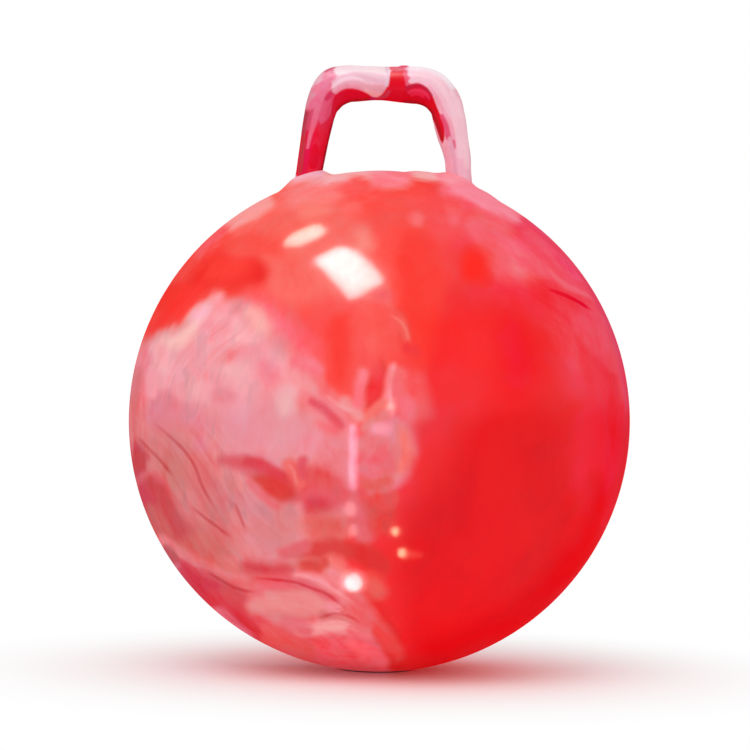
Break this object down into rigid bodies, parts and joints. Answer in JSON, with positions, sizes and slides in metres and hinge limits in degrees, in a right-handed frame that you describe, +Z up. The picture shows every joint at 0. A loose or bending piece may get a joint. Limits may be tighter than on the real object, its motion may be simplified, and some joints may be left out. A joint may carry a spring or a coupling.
{
  "type": "hopper ball",
  "caption": "Inflated vinyl ball to sit and bounce on, with a bent hollow grip handle welded into raised collars on its crown and a push-in air plug between the handle's legs",
  "frame": {"origin": "centre of the flat patch that the ball rests on, at the bottom centre of the part's box", "axes": "+Z up through the ball's centre and the air plug, X along the handle's crossbar, Y through the gap under the crossbar"},
  "size_m": [0.4499, 0.45, 0.5442],
  "materials": {
    "skin": "glossy marbled vinyl, red with pale pink",
    "grip": "glossy marbled vinyl, crimson with pink and white",
    "seat": "satin off-white soft vinyl",
    "plug": "satin white plastic"
  },
  "bodies": {
    "ball": {"ball_skin": "skin", "handle": "grip", "valve_seat": "seat"},
    "plug": {"air_plug": "plug"}
  },
  "joints": [
    {"name": "plug_pull", "type": "slide", "parent": "ball", "child": "plug", "axis": [0, 0, 1], "range_m": [0, 0.03]}
  ]
}
